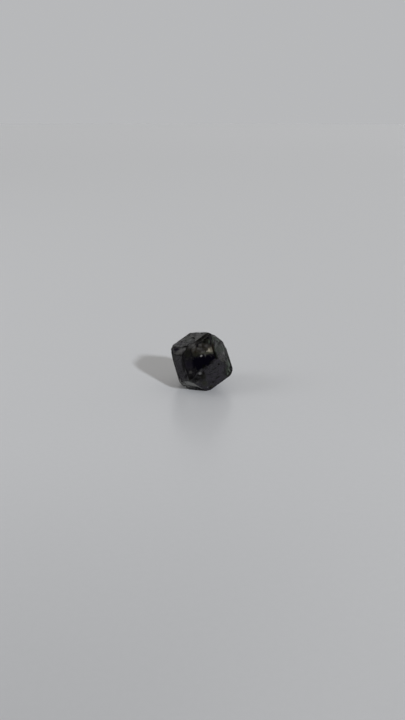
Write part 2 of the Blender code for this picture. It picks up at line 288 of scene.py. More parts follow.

# A mark is an oval patch of skin on one face, or of painted light or shade where its tone stands
# in for them: its place and half sizes in millimetres along the face's level and rising
# directions, its turn in degrees, how soft its edge is, its tone, how thick it is, and how much it
# is broken up into grains.
MARKS = {
    # The left side: plum, with lilac patches, dark lines, and a pale patch of painted floor
    # reflection at its foot.
    "side_left": (
        ((0.00, 0.00), (7.00, 7.00), 0.0, 0.30, "plum", 0.55, 0.5),
        ((0.59, 0.08), (1.94, 0.98), 19.0, 0.60, "lilac", 0.50, 0.3),
        ((2.16, 2.01), (1.50, 0.49), -89.0, 0.50, "soot", 0.80, 0.2),
        ((1.57, -2.98), (0.52, 0.25), 19.0, 0.50, "soot", 0.90, 0.0),
        ((1.94, -1.86), (0.94, 0.29), 17.0, 0.50, "lilac", 0.60, 0.3),
        ((2.89, 0.56), (1.61, 0.61), 77.0, 0.50, "soot", 0.80, 0.2),
        ((3.82, -1.47), (0.75, 0.33), 57.0, 0.50, "soot", 0.80, 0.0),
        ((3.08, -3.89), (2.35, 0.83), 26.0, 0.30, "painted_floor_reflection", 0.97, 0.0),
    ),
    # Its narrow upper face: two light patches that are painted highlights, a dark corner and a
    # paler rim.
    (-2, -1, 1): (
        ((0.45, 1.06), (2.53, 0.21), 16.0, 0.50, "soot", 0.80, 0.0),
        ((-0.72, 0.01), (1.30, 0.39), 13.0, 0.40, "plum", 0.97, 0.0),
        ((1.44, 0.30), (1.32, 0.42), 21.0, 0.40, "pale grey", 0.85, 0.1),
        ((2.27, 1.03), (0.56, 0.25), 8.0, 0.50, "pale grey", 0.90, 0.0),
        ((1.01, -0.59), (1.47, 0.30), 18.0, 0.50, "pale grey", 0.50, 0.3),
        ((3.20, 0.22), (0.99, 0.42), -10.0, 0.50, "plum", 0.70, 0.2),
    ),
    # Its narrow lower face: a plum sheet of painted shade, with slate and moss streaks.
    (-2, -1, -1): (
        ((0.00, 0.00), (7.00, 7.00), 0.0, 0.20, "plum", 0.92, 0.1),
        ((2.16, 5.54), (4.81, 0.72), 26.0, 0.50, "slate", 0.90, 0.0),
        ((0.07, 3.26), (4.04, 0.59), 28.0, 0.50, "moss", 0.60, 0.5),
    ),
    # Between the left side and the front: purple in the middle, olive at its foot, one light
    # spot.
    (-1, -2, 1): (
        ((-0.16, 1.73), (0.97, 0.96), -34.0, 0.50, "dark olive", 0.85, 0.5),
        ((2.05, -0.15), (1.56, 0.69), -81.0, 0.35, "black", 0.95, 0.0),
        ((0.52, -0.98), (1.21, 0.96), 7.0, 0.50, "plum", 0.70, 0.3),
        ((1.32, -2.61), (0.43, 0.31), 8.0, 0.60, "grey", 0.65, 0.0),
        ((0.53, -3.65), (0.43, 0.24), 8.0, 0.50, "pitch", 0.80, 0.0),
        ((0.51, -4.46), (1.07, 0.29), 9.0, 0.50, "olive", 0.90, 0.3),
        ((1.78, -3.86), (0.69, 0.62), 7.0, 0.90, "pitch", 0.80, 0.2),
        ((0.07, 2.86), (0.48, 0.34), 6.0, 0.50, "brown", 0.80, 0.3),
    ),
    # Under it, a soot sheet of painted shade.
    (-1, -2, -1): (
        ((0.00, 0.00), (7.00, 7.00), 0.0, 0.20, "soot", 0.60, 0.0),
    ),
    # The top left face: dark and light growth lines, a small pit, moss near its middle.
    "top_left": (
        ((1.37, 2.65), (2.90, 0.18), 26.0, 0.50, "soot", 0.30, 0.0),
        ((3.35, 2.65), (1.36, 1.05), -16.0, 0.40, "pale grey", 0.70, 0.1),
        ((0.20, 1.61), (1.13, 0.39), 15.0, 0.50, "pale grey", 0.80, 0.0),
        ((3.77, 4.12), (0.77, 0.59), 37.0, 0.50, "grey", 0.90, 0.0),
        ((3.88, -1.11), (1.88, 0.49), 23.0, 0.50, "soot", 0.95, 0.0),
        ((1.59, 1.44), (0.80, 0.31), 7.0, 0.50, "pitch", 1.00, 0.0),
        ((-0.20, 0.31), (2.08, 0.74), -3.0, 0.60, "moss", 0.60, 0.3),
        ((-0.21, -1.75), (1.64, 0.54), 17.0, 0.60, "lilac", 0.50, 0.3),
        ((2.77, 1.95), (0.42, 0.28), -19.0, 0.50, "pale grey", 0.50, 0.0),
    ),
    # The front face: black below, and above it a window of painted light, brown and tan marks that
    # stand in for light seen through the stone.
    "top_front": (
        ((0.08, -2.20), (4.82, 2.19), 7.0, 0.06, "black", 0.97, 0.0),
        ((0.77, 3.83), (1.84, 1.22), 35.0, 0.40, "dark olive", 0.80, 0.5),
        # Painted light seen through the stone: the brown window, mottled with darker and lighter
        # spots.
        ((-0.03, 1.58), (2.78, 1.43), -1.0, 0.20, "brown", 0.92, 0.6),
        ((-1.67, 1.54), (1.48, 0.87), 88.0, 0.25, "brown", 0.90, 0.4),
        ((-1.64, 0.29), (0.87, 0.59), -1.0, 0.40, "dark olive", 0.90, 0.4),
        ((-1.89, 2.21), (0.57, 0.51), 86.0, 0.50, "grey", 1.00, 0.0),
        ((-0.48, 2.65), (0.43, 0.37), 1.0, 0.50, "grey", 0.75, 0.0),
        ((1.01, 2.27), (0.46, 0.37), 0.0, 0.50, "grey", 0.65, 0.0),
        ((-0.94, 1.75), (0.31, 0.25), 0.0, 0.50, "grey", 0.85, 0.0),
        ((-1.36, 2.17), (0.25, 0.17), 88.0, 0.50, "dark brown", 0.80, 0.0),
        ((-1.47, 1.76), (0.19, 0.15), 0.0, 0.50, "dark brown", 0.80, 0.0),
        ((-0.88, 0.66), (0.39, 0.17), -1.0, 0.50, "dark olive", 0.80, 0.0),
        ((-2.02, 1.28), (0.29, 0.20), -1.0, 0.50, "grey", 0.50, 0.0),
        ((0.59, 1.96), (0.20, 0.19), 71.0, 0.50, "dark brown", 0.70, 0.0),
        ((0.51, 1.15), (0.24, 0.20), 0.0, 0.50, "grey", 0.70, 0.0),
        ((-0.23, 1.43), (0.19, 0.17), 2.0, 0.50, "dark brown", 0.60, 0.0),
        ((0.09, 0.89), (0.39, 0.29), 0.0, 0.50, "grey", 1.00, 0.0),
        ((-1.18, 2.59), (0.64, 0.29), -82.0, 0.50, "black", 0.90, 0.0),
        ((-0.71, 3.05), (0.53, 0.32), -1.0, 0.50, "black", 0.80, 0.0),
        ((-0.39, 1.56), (0.39, 0.30), 0.0, 0.60, "grey", 0.55, 0.0),
        ((-1.67, 3.24), (0.87, 0.22), 11.0, 0.50, "pitch", 0.90, 0.0),
        ((0.21, 2.29), (0.42, 0.19), 88.0, 0.50, "dark brown", 0.90, 0.0),
        ((-1.67, 0.85), (0.31, 0.29), 4.0, 0.50, "dark brown", 0.90, 0.0),
        ((-2.69, 1.24), (0.29, 0.19), 88.0, 0.50, "dark brown", 0.80, 0.0),
        ((0.84, 1.54), (0.30, 0.22), 87.0, 0.50, "dark brown", 0.70, 0.0),
        # Painted light seen through the stone: a tan patch with brighter spots in it.
        ((1.99, 1.39), (0.70, 0.66), 6.0, 0.40, "tan", 0.85, 0.1),
        ((1.66, 2.11), (0.53, 0.30), -1.0, 0.50, "brown", 0.90, 0.0),
        ((0.94, 1.63), (0.25, 0.19), 87.0, 0.50, "brown", 0.75, 0.0),
        ((1.58, 1.27), (0.28, 0.27), 13.0, 0.50, "bright tan", 0.88, 0.0),
        ((1.25, 0.98), (0.22, 0.17), 0.0, 0.50, "bright tan", 0.70, 0.0),
        ((1.79, 1.02), (0.58, 0.22), -1.0, 0.50, "bright tan", 0.30, 0.0),
        ((2.31, 0.69), (0.39, 0.20), -1.0, 0.50, "light olive", 0.80, 0.0),
        ((0.90, 0.60), (1.64, 0.22), -1.0, 0.50, "light olive", 0.85, 0.2),
        ((0.69, 0.04), (0.37, 0.19), 88.0, 0.50, "grey", 0.80, 0.0),
        # Painted highlight: a small glint of light.
        ((-0.28, -0.06), (0.22, 0.21), 7.0, 0.50, "white", 0.88, 0.0),
        ((0.85, 3.93), (0.40, 0.31), 87.0, 0.50, "pitch", 0.95, 0.0),
        ((1.52, 4.31), (0.39, 0.27), 0.0, 0.50, "black", 0.95, 0.0),
        ((0.51, 4.51), (0.29, 0.22), 0.0, 0.50, "light olive", 0.70, 0.0),
        ((1.37, 4.81), (0.29, 0.20), 0.0, 0.50, "slate", 0.90, 0.0),
        ((-0.57, 3.49), (0.24, 0.20), 0.0, 0.50, "olive", 0.80, 0.0),
        ((0.05, 4.02), (0.24, 0.20), 0.0, 0.50, "olive", 0.80, 0.0),
        ((0.51, 3.29), (0.39, 0.22), -1.0, 0.50, "pitch", 0.80, 0.0),
        # Painted highlight: a streak of light along the face's right edge.
        ((1.77, 3.37), (0.59, 0.22), 88.0, 0.50, "moss", 0.95, 0.0),
        ((2.03, 4.97), (0.58, 0.30), -1.0, 0.50, "slate", 0.90, 0.2),
        ((2.93, -0.23), (0.64, 0.31), 88.0, 0.50, "black", 0.90, 0.0),
        ((0.17, -2.45), (0.39, 0.22), 33.0, 0.50, "pitch", 0.85, 0.0),
        ((1.89, -1.36), (0.32, 0.19), 34.0, 0.50, "pitch", 0.80, 0.0),
    ),
    # The narrow face along its upper left edge.
    (-1, -1, 2): (
        ((0.00, 0.00), (7.00, 7.00), 0.0, 0.20, "dark brown", 0.50, 0.5),
        ((0.40, -0.60), (0.41, 0.33), -45.0, 0.60, "pale grey", 0.60, 0.0),
        ((-0.16, -1.04), (0.69, 0.58), -50.0, 0.50, "grey", 0.75, 0.3),
        ((0.47, -0.18), (0.39, 0.25), 48.0, 0.50, "grey", 0.70, 0.0),
        ((1.83, 1.64), (1.49, 0.55), 57.0, 0.40, "pitch", 0.85, 0.2),
    ),
    # The narrow face along its right edge: brown along the window, lighter beyond.
    (1, -1, 2): (
        ((-0.45, 0.54), (2.01, 0.39), 76.0, 0.40, "moss", 0.90, 0.2),
        ((-0.93, 1.15), (1.51, 0.39), 76.0, 0.40, "dark brown", 0.95, 0.0),
        ((-1.14, -0.75), (1.23, 0.51), 81.0, 0.40, "pitch", 0.95, 0.0),
        ((0.16, 2.50), (0.72, 0.25), 54.0, 0.50, "pale moss", 0.85, 0.0),
        ((0.06, 2.99), (0.95, 0.41), 50.0, 0.50, "moss", 0.90, 0.2),
    ),
    # The narrow face under the front face: plum, with a dark rim.
    (1, -2, 1): (
        ((0.00, 0.00), (7.00, 7.00), 0.0, 0.20, "plum", 0.50, 0.5),
        ((-0.88, 1.31), (1.99, 0.53), -38.0, 0.50, "black", 0.97, 0.0),
        ((0.01, 0.84), (0.57, 0.35), -10.0, 0.50, "olive", 0.85, 0.2),
        ((-1.29, 0.12), (0.64, 0.31), 22.0, 0.50, "olive", 0.60, 0.4),
        ((-2.71, -0.19), (0.39, 0.21), 22.0, 0.50, "grey", 0.50, 0.0),
        ((-2.12, 0.71), (0.73, 0.37), 27.0, 0.50, "pitch", 0.92, 0.0),
        ((-3.63, -0.08), (0.79, 0.38), 12.0, 0.50, "pitch", 0.85, 0.0),
        ((-0.10, 1.77), (0.64, 0.34), 26.0, 0.50, "pitch", 0.80, 0.0),
    ),
    # The top right face: moss and grey streaks.
    "top_right": (
        ((-2.85, 2.70), (1.21, 0.32), 20.0, 0.50, "pale grey", 0.50, 0.2),
        ((-1.70, 4.41), (1.51, 0.54), -19.0, 0.50, "moss", 0.90, 0.2),
        ((0.14, 3.31), (1.03, 0.38), -17.0, 0.50, "pale moss", 0.80, 0.2),
        ((-1.36, 2.89), (1.01, 0.20), 4.0, 0.50, "pale moss", 0.50, 0.2),
        ((-0.64, 3.14), (0.46, 0.24), -25.0, 0.50, "soot", 0.80, 0.0),
        ((-0.04, 2.49), (0.48, 0.19), -6.0, 0.50, "soot", 0.70, 0.0),
        ((-1.25, 1.39), (2.68, 0.98), -9.0, 0.60, "moss", 0.70, 0.2),
        ((-0.52, -0.08), (0.84, 0.36), -5.0, 0.50, "pale grey", 0.65, 0.0),
        ((1.10, 0.51), (0.69, 0.44), -2.0, 0.50, "pale moss", 0.80, 0.0),
        ((-3.16, -0.18), (1.26, 0.61), 8.0, 0.50, "grey", 0.60, 0.2),
        ((-3.60, -1.17), (1.01, 0.42), -7.0, 0.50, "grey", 0.85, 0.0),
        ((-0.50, -1.60), (0.51, 0.23), -2.0, 0.50, "pitch", 0.95, 0.0),
        ((-2.37, -1.12), (0.47, 0.44), 8.0, 0.50, "olive", 0.70, 0.0),
        ((0.64, -2.53), (2.00, 0.68), 70.0, 0.50, "pale moss", 0.80, 0.3),
        ((0.71, -3.80), (1.43, 0.39), 59.0, 0.50, "pitch", 0.80, 0.0),
        ((1.22, -0.36), (1.66, 0.40), 65.0, 0.50, "soot", 0.60, 0.0),
        ((1.08, -2.06), (1.05, 0.48), 69.0, 0.50, "pitch", 0.80, 0.0),
        ((-1.85, -3.07), (1.76, 0.65), 25.0, 0.50, "moss", 0.90, 0.3),
        ((-0.55, -3.65), (1.18, 0.58), 55.0, 0.50, "pale moss", 0.80, 0.1),
        ((-2.89, -3.16), (0.53, 0.26), 3.0, 0.50, "pitch", 0.95, 0.0),
        ((-1.27, -4.23), (0.56, 0.24), -7.0, 0.50, "pitch", 0.85, 0.0),
    ),
    # The lower right face: lilac and olive patches, dark specks.
    "side_front": (
        ((0.00, 0.00), (7.00, 7.00), 0.0, 0.30, "plum", 0.50, 0.5),
        ((0.30, 3.74), (0.47, 0.26), -36.0, 0.50, "soot", 0.90, 0.0),
        ((1.50, 2.39), (0.91, 0.30), -18.0, 0.50, "lilac", 0.80, 0.3),
        ((-0.46, 4.87), (0.88, 0.24), -16.0, 0.50, "lilac", 0.80, 0.3),
        ((-0.85, 2.58), (0.84, 0.33), 4.0, 0.50, "soot", 0.60, 0.3),
        ((1.59, 1.04), (1.09, 0.35), -69.0, 0.50, "lilac", 0.60, 0.3),
        ((1.96, -1.22), (0.85, 0.33), 16.0, 0.50, "lilac", 0.80, 0.2),
        ((1.31, -0.60), (0.79, 0.20), 18.0, 0.50, "soot", 0.70, 0.0),
        ((0.27, -1.81), (0.56, 0.32), -46.0, 0.50, "soot", 0.70, 0.0),
        ((-1.67, 1.22), (1.07, 0.26), -8.0, 0.50, "soot", 0.50, 0.3),
        ((-1.66, 0.11), (0.89, 0.51), -42.0, 0.50, "lilac", 0.50, 0.3),
        ((2.83, 1.06), (1.62, 0.21), -73.0, 0.50, "soot", 0.60, 0.2),
        ((-0.03, 0.81), (0.90, 0.21), -16.0, 0.50, "lilac", 0.60, 0.2),
        ((-1.49, -3.19), (0.79, 0.32), -5.0, 0.50, "lilac", 0.60, 0.2),
        ((-0.10, -0.76), (0.60, 0.34), -46.0, 0.50, "lilac", 0.60, 0.2),
        ((0.06, -3.21), (0.69, 0.46), -4.0, 0.50, "olive", 0.90, 0.3),
        ((-0.02, -3.71), (0.42, 0.27), 0.0, 0.50, "soot", 0.90, 0.0),
        ((-4.78, 1.05), (0.61, 0.20), -8.0, 0.50, "grey", 0.50, 0.0),
        ((-3.54, 0.90), (1.38, 0.74), -58.0, 0.60, "dark olive", 0.85, 0.3),
        ((-4.53, 0.68), (1.97, 1.15), -42.0, 0.50, "soot", 0.55, 0.3),
        ((-2.39, -1.61), (1.20, 0.68), -40.0, 0.60, "olive", 0.70, 0.4),
        ((-4.67, -0.67), (0.43, 0.38), -22.0, 0.50, "grey", 0.70, 0.0),
        ((-5.79, 0.40), (1.23, 0.84), -22.0, 0.90, "pitch", 0.85, 0.2),
        ((-5.98, 3.27), (0.84, 0.44), -28.0, 0.50, "pitch", 0.97, 0.0),
        ((-4.14, 3.90), (1.29, 0.49), -41.0, 0.60, "pitch", 0.95, 0.0),
        ((-2.20, 4.85), (0.89, 0.36), -41.0, 0.60, "pitch", 0.85, 0.0),
        ((-4.71, 1.44), (1.00, 0.27), -17.0, 0.50, "soot", 0.80, 0.0),
        ((-3.70, 2.00), (0.78, 0.28), -69.0, 0.50, "soot", 0.90, 0.0),
        ((-5.24, 0.54), (0.80, 0.18), -16.0, 0.50, "pitch", 0.70, 0.0),
        ((4.29, 0.38), (2.10, 0.92), -64.0, 0.40, "dark olive", 0.80, 0.2),
        ((3.91, 0.79), (1.47, 0.41), -70.0, 0.50, "moss", 0.80, 0.2),
        ((4.61, 0.78), (1.08, 0.18), -58.0, 0.50, "pale moss", 0.80, 0.0),
        ((4.33, -0.27), (0.49, 0.21), -86.0, 0.50, "pale moss", 0.70, 0.0),
        ((4.37, 0.42), (0.35, 0.17), -61.0, 0.50, "pitch", 0.90, 0.0),
        ((5.30, -0.03), (0.60, 0.18), -69.0, 0.50, "pitch", 0.80, 0.0),
        ((3.70, -0.37), (0.38, 0.17), -63.0, 0.50, "pitch", 0.90, 0.0),
        ((-4.82, 2.18), (0.51, 0.27), -31.0, 0.60, "pale grey", 0.80, 0.0),
    ),
    # The foot: a pale wedge of painted reflection of the lit floor, mossy at its upper corner.
    "foot_front": (
        ((1.52, 2.89), (3.17, 1.56), 44.0, 0.30, "painted_floor_reflection", 0.95, 0.1),
        ((3.15, 2.11), (1.33, 0.96), 70.0, 0.50, "painted_floor_reflection", 0.80, 0.1),
        ((3.00, 5.35), (1.38, 0.57), 47.0, 0.50, "moss", 0.75, 0.0),
    ),
}

# Marks by chance: the faces that take them and how many each, and between which values each
# mark's measures are drawn.
SCATTERED_MARKS = {
    "top_back": 22,
    "side_right": 22,
    "side_back": 22,
    "foot_left": 14,
    "foot_right": 14,
    "foot_back": 14,
    (-2, -1, -1): 12,
    (1, 1, 2): 6,
    (1, 2, 1): 6,
    (-1, 2, 1): 6,
    (-1, 1, 2): 5,
    (-2, 1, 1): 5,
    (-2, 1, -1): 4,
    (1, 2, -1): 5,
    (2, 1, -1): 5,
    (-1, 2, -1): 5,
}
SCATTERED_SIZES = (0.3, 1.6)
SCATTERED_SHAPES = (0.25, 0.8)
SCATTERED_REACH = 4.0
SCATTERED_TURN = 90.0
SCATTERED_SOFTNESS = 0.5
SCATTERED_STRENGTHS = (0.4, 0.9)
SCATTERED_GRAININESS = (0.2, 0.7)
SCATTERED_TONES = ("lilac", "lilac", "moss", "grey", "brown", "olive", "plum", "soot", "pale grey")

# What the glossy faces mirror: a dark room with glows in it. A glow has an azimuth, an elevation,
# the angle out to which it is full, the angle at which it ends, and a strength.
ROOM_LIGHT = 0.07
ROOM_GLOWS = (
    (180.0, 8.0, 28.0, 52.0, 0.45),
    (-112.0, 14.0, 14.0, 34.0, 0.42),
    (90.0, 25.0, 5.0, 60.0, 0.15),
    (-96.0, 66.0, 6.0, 30.0, 0.25),
    (145.0, 52.0, 14.0, 30.0, 1.10),
    (-45.0, 58.0, 10.0, 26.0, 0.80),
    (62.0, 66.0, 10.0, 26.0, 0.80),
    (30.0, 22.0, 3.0, 9.0, 2.00),
)

# The stage's lights and its floor, in metres and degrees. The floor is painted darker towards the
# viewer, as painted shade.
FILL_TINT = (1.03, 1.00, 0.955)
KEY_TINT = (0.97, 1.00, 1.04)
KEY_DIRECTION = Vector((1.08, -1.72, 1.00))
KEY_WIDTH = 4.3
SIDE_LIGHT_SIZE = 0.30
SIDE_LIGHT_PLACE = Vector((-0.50, -0.10, 0.32))
FLOOR_RADIUS = 3.0
FLOOR_SEGMENTS = 128
FLOOR_ROUGHNESS = 0.28
FLOOR_IOR = 1.55
FLOOR_PAINTED_SHADE = 0.14
FLOOR_PAINTED_SHADE_SPAN = (0.03, 0.13)
PULP = (900.0, 2.0, 0.5)
PULP_SHADE = 0.97

# The camera: its distance, and how far beside the crystal's centre it aims, are in millimetres.
CAMERA_LENS = 39.14
CAMERA_SENSOR = 36.0
CAMERA_NEAREST = 0.005
CAMERA_ELEVATION = 18.0
CAMERA_DISTANCE = 193.0
AIM_RIGHT = 0.494
AIM_UP = 0.382


def standing_rotation():
    """Turn from the crystal's own axes to the way it stands."""
    towards = Matrix.Rotation(LEAN_TOWARDS, 3, "Z")
    lean = Matrix.Rotation(LEAN, 3, "Y")
    spin = Matrix.Rotation(SPIN_ABOUT_AXIS - LEAN_TOWARDS, 3, "Z")
    return towards @ lean @ spin


def edge_face_indices():
    """The trapezohedron faces: one index is 2, the others are 1."""
    for indices in itertools.product((-2, -1, 1, 2), repeat=3):
        if sorted(abs(index) for index in indices) == [1, 1, 2]:
            yield indices


def crystal_planes():
    """Every face of the standing crystal: outward direction and distance from the centre."""
    turn = standing_rotation()
    planes = {}
    for name, (indices, distance) in RHOMB_FACES.items():
        planes[name] = (turn @ Vector(indices).normalized(), distance)
    for indices in edge_face_indices():
        distance = OTHER_EDGE_FACES.get(indices, EDGE_FACE_DISTANCE)
        planes[indices] = (turn @ Vector(indices).normalized(), distance)
    for name, (towards, distance) in BLUNT_CORNERS.items():
        planes[name] = (turn @ Vector(towards).normalized(), distance)
    return planes


def cleave(mesh, outward, spot):
    """Split off what lies beyond one plane, and close the cut."""
    cut = bmesh.ops.bisect_plane(
        mesh,
        geom=mesh.verts[:] + mesh.edges[:] + mesh.faces[:],
        dist=PLANE_TOLERANCE,
        plane_co=spot,
        plane_no=outward,
        clear_outer=True,
    )
    rim = [item for item in cut["geom_cut"] if isinstance(item, bmesh.types.BMEdge)]
    if rim:
        bmesh.ops.edgenet_fill(mesh, edges=rim)


def cleaved_block(planes, shift, ground):
    """A closed block inside all the planes, standing in place and cut off level at the ground."""
    mesh = bmesh.new()
    bmesh.ops.create_cube(mesh, size=ROUGH_BLOCK_SIDE)
    for outward, distance in planes.values():
        cleave(mesh, outward, shift + outward * distance)
    mesh.transform(Matrix.Translation(CRYSTAL_CENTRE))
    cleave(mesh, Vector((0.0, 0.0, -1.0)), Vector((0.0, 0.0, ground)))
    bmesh.ops.recalc_face_normals(mesh, faces=mesh.faces[:])
    return mesh


def wear_edges(mesh, width):
    """Rub every edge down to a narrow rounded strip."""
    edges = [edge for edge in mesh.edges if edge.calc_face_angle(0.0) > WORN_EDGE_ANGLE]
    bmesh.ops.bevel(
        mesh,
        geom=edges,
        affect="EDGES",
        offset_type="OFFSET",
        offset=width,
        segments=WORN_EDGE_SEGMENTS,
        profile=WORN_EDGE_PROFILE,
        clamp_overlap=True,
    )


def form_from(mesh, name):
    """Store a working mesh as an object for the Boolean steps."""
    data = bpy.data.meshes.new(name)
    mesh.to_mesh(data)
    mesh.free()
    form = bpy.data.objects.new(name, data)
    bpy.context.scene.collection.objects.link(form)
    return form


def growth_plate(planes, plate):
    """A thin raised layer: the crystal again, drawn in on every side but one."""
    face_name, rise, inset, shift = plate
    layer = {}
    for name, (outward, distance) in planes.items():
        change = rise if name == face_name else -inset
        layer[name] = (outward, distance + change)
    sideways = standing_rotation() @ Vector(shift)
    sideways -= sideways.project(planes[face_name][0])
    return form_from(cleaved_block(layer, sideways, PLATE_GROUND_CLEARANCE), "growth_plate")


def foot_ledge():
    """The low ledge of broken stone that juts out under the front of the crystal."""
    mesh = bmesh.new()
    corners = []
    for height, spread in ((0.0, 1.0), (LEDGE_HEIGHT, LEDGE_TOP_SPREAD)):
        for x, y in LEDGE_OUTLINE:
            spot = Vector((x * spread, y * spread, height))
            corners.append(mesh.verts.new(spot + LEDGE_PLACE))
    bmesh.ops.convex_hull(mesh, input=corners)
    bmesh.ops.recalc_face_normals(mesh, faces=mesh.faces[:])
    return form_from(mesh, "foot_ledge")


def reach_along(planes, direction):
    """Distance from the centre to the crystal's surface in one direction."""
    reaches = []
    for outward, distance in planes.values():
        closing = outward.dot(direction)
        if closing > PLANE_TOLERANCE:
            reaches.append(distance / closing)
    return min(reaches)


def chip_ball(planes, chip):
    """Centre and radius of the ball that scoops out one chip."""
    towards, radius, bite = chip
    direction = standing_rotation() @ Vector(towards).normalized()
    middle = reach_along(planes, direction) - bite + radius
    return CRYSTAL_CENTRE + direction * middle, radius


def chip_cutter(ball):
    """The ball itself, as a form to cut with."""
    centre, radius = ball
    mesh = bmesh.new()
    bmesh.ops.create_icosphere(mesh, subdivisions=CHIP_SUBDIVISIONS, radius=radius)
    mesh.transform(Matrix.Translation(centre))
    return form_from(mesh, "chip")


def combined(body, added, removed):
    """Join forms to the body, cut others away, and hand back the resulting mesh."""
    for operation, forms in (("UNION", added), ("DIFFERENCE", removed)):
        for form in forms:
            step = body.modifiers.new(operation, "BOOLEAN")
            step.operation = operation
            step.solver = "EXACT"
            step.object = form
    graph = bpy.context.evaluated_depsgraph_get()
    data = bpy.data.meshes.new_from_object(body.evaluated_get(graph))
    for form in [body] + added + removed:
        used = form.data
        bpy.data.objects.remove(form, do_unlink=True)
        bpy.data.meshes.remove(used)
    mesh = bmesh.new()
    mesh.from_mesh(data)
    bpy.data.meshes.remove(data)
    return mesh


class CrystalField:
    """Measures of a crystal at many points at once: nearest face, distance to its edges."""

    def __init__(self, planes):
        self.outwards = np.array([tuple(outward) for outward, _distance in planes.values()])
        self.distances = np.array([distance for _outward, distance in planes.values()])
        turns = np.clip(self.outwards @ self.outwards.T, -1.0, 1.0)
        self.sines = np.sqrt(np.maximum(1.0 - turns ** 2, SMALLEST_SQUARE))

    def measure(self, points):
        """For each point: its face, how far it lies outside that face, and how near an edge."""
        levels = (points - np.array(CRYSTAL_CENTRE)) @ self.outwards.T - self.distances
        face = levels.argmax(axis=1)
        rows = np.arange(len(points))
        level = levels[rows, face]
        apart = -levels / self.sines[face]
        apart[rows, face] = np.inf
        return face, level, np.maximum(apart.min(axis=1), 0.0)


def cut_edges(mesh):
    """Put points along every edge, closer together along creases."""
    groups = {}
    for edge in mesh.edges:
        spacing = CREASE_SPACING if edge.calc_face_angle(0.0) > CREASE_ANGLE else OPEN_SPACING
        cuts = math.ceil(edge.calc_length() / spacing) - 1
        if cuts > 0:
            groups.setdefault(cuts, []).append(edge)
    for cuts, edges in sorted(groups.items()):
        bmesh.ops.bisect_edges(mesh, edges=edges, cuts=cuts)


def segment_distances(points, border):
    """Distance of each flat point from the nearest stretch of a closed border."""
    runs = np.roll(border, -1, axis=0) - border
    offsets = points[:, None, :] - border[None, :, :]
    along = np.clip((offsets * runs).sum(axis=2) / (runs ** 2).sum(axis=1), 0.0, 1.0)
    return np.linalg.norm(offsets - along[:, :, None] * runs, axis=2).min(axis=1)


def inside_border(points, border):
    """Which flat points lie inside a closed border."""
    x, y = points[:, 0][:, None], points[:, 1][:, None]
    start_x, start_y = border[:, 0], border[:, 1]
    end_x, end_y = np.roll(start_x, -1), np.roll(start_y, -1)
    spans = (start_y > y) != (end_y > y)
    rise = np.where(end_y == start_y, 1.0, end_y - start_y)
    crossing = start_x + (y - start_y) / rise * (end_x - start_x)
    return (spans & (x < crossing)).sum(axis=1) % 2 == 1


def scattered_grid(border, spacing, generator):
    """Points of a slightly shaken triangular grid over a border's box."""
    low, high = border.min(axis=0), border.max(axis=0)
    row_height = spacing * math.sqrt(3.0) / 2.0
    rows = np.arange(low[1], high[1], row_height)
    columns = np.arange(low[0], high[0] + spacing, spacing)
    y, x = np.meshgrid(rows, columns, indexing="ij")
    x = x - (np.arange(len(rows)) % 2)[:, None] * spacing / 2.0
    points = np.stack([x.ravel(), y.ravel()], axis=1)
    return points + generator.uniform(-1.0, 1.0, points.shape) * spacing * GRID_JITTER


def points_inside(border, generator):
    """Points to fill a flat border with: close together beside it, wider apart farther in."""
    filling = []
    for spacing, nearest, farthest in (
        (CREASE_SPACING, CREASE_SPACING * BORDER_GAP, CREASE_REACH),
        (OPEN_SPACING, CREASE_REACH + OPEN_SPACING * BORDER_GAP, np.inf),
    ):
        points = scattered_grid(border, spacing, generator)
        points = points[inside_border(points, border)]
        if len(points):
            apart = segment_distances(points, border)
            filling.append(points[(apart > nearest) & (apart < farthest)])
    return np.concatenate(filling) if filling else np.empty((0, 2))


def fine_triangles(mesh, generator):
    """The mesh again, as points and small even triangles."""
    cut_edges(mesh)
    mesh.verts.index_update()
    points = [tuple(vertex.co) for vertex in mesh.verts]
    triangles = []
    for face in mesh.faces:
        corners = [vertex.index for vertex in face.verts]
        if len(corners) == 3:
            triangles.append(tuple(corners))
            continue
        level = face.normal.orthogonal().normalized()
        rising = face.normal.cross(level)
        origin = face.verts[0].co.copy()
        axes = np.array([tuple(level), tuple(rising)])
        border = (np.array([points[index] for index in corners]) - np.array(origin)) @ axes.T
        inner = points_inside(border, generator)
        spots = [Vector(spot) for spot in np.concatenate([border, inner])]
        ring = [(step, (step + 1) % len(corners)) for step in range(len(corners))]
        result = delaunay_2d_cdt(spots, ring, [list(range(len(corners)))], 1, PLANE_TOLERANCE)
        places, _edges, faces, sources = result[:4]
        numbers = []
        for place, source in zip(places, sources):
            if source and source[0] < len(corners):
                numbers.append(corners[source[0]])
            else:
                numbers.append(len(points))
                points.append(tuple(origin + level * place.x + rising * place.y))
        triangles.extend(tuple(numbers[corner] for corner in made) for made in faces)
    return np.array(points), np.array(triangles)


def point_normals(points, triangles):
    """Outward direction at every point, from the triangles around it."""
    corners = points[triangles]
    crosses = np.cross(corners[:, 1] - corners[:, 0], corners[:, 2] - corners[:, 0])
    normals = np.zeros_like(points)
    for corner in range(3):
        np.add.at(normals, triangles[:, corner], crosses)
    return normals / np.maximum(np.linalg.norm(normals, axis=1), SMALLEST_LENGTH)[:, None]


def eased(values, start, end):
    """0 up to start, 1 from end on, and smooth between them."""
    share = np.clip((values - start) / (end - start), 0.0, 1.0)
    return share * share * (3.0 - 2.0 * share)


def noise_at(points, frequency, seed):
    """Smooth noise from -1 to 1 at many points."""
    shift = Vector([seed * step for step in NOISE_SEED_STEP])
    return np.array([noise.noise(Vector(point) * frequency + shift) for point in points.tolist()])


def layered_noise(points, layers):
    """The sum of several layers of noise."""
    return sum(height * noise_at(points, frequency, seed) for frequency, height, seed in layers)


def face_frame(outward):
    """Two directions that lie in a face: a level one and a rising one."""
    level = Vector((0.0, 0.0, 1.0)).cross(outward).normalized()
    return level, outward.cross(level)


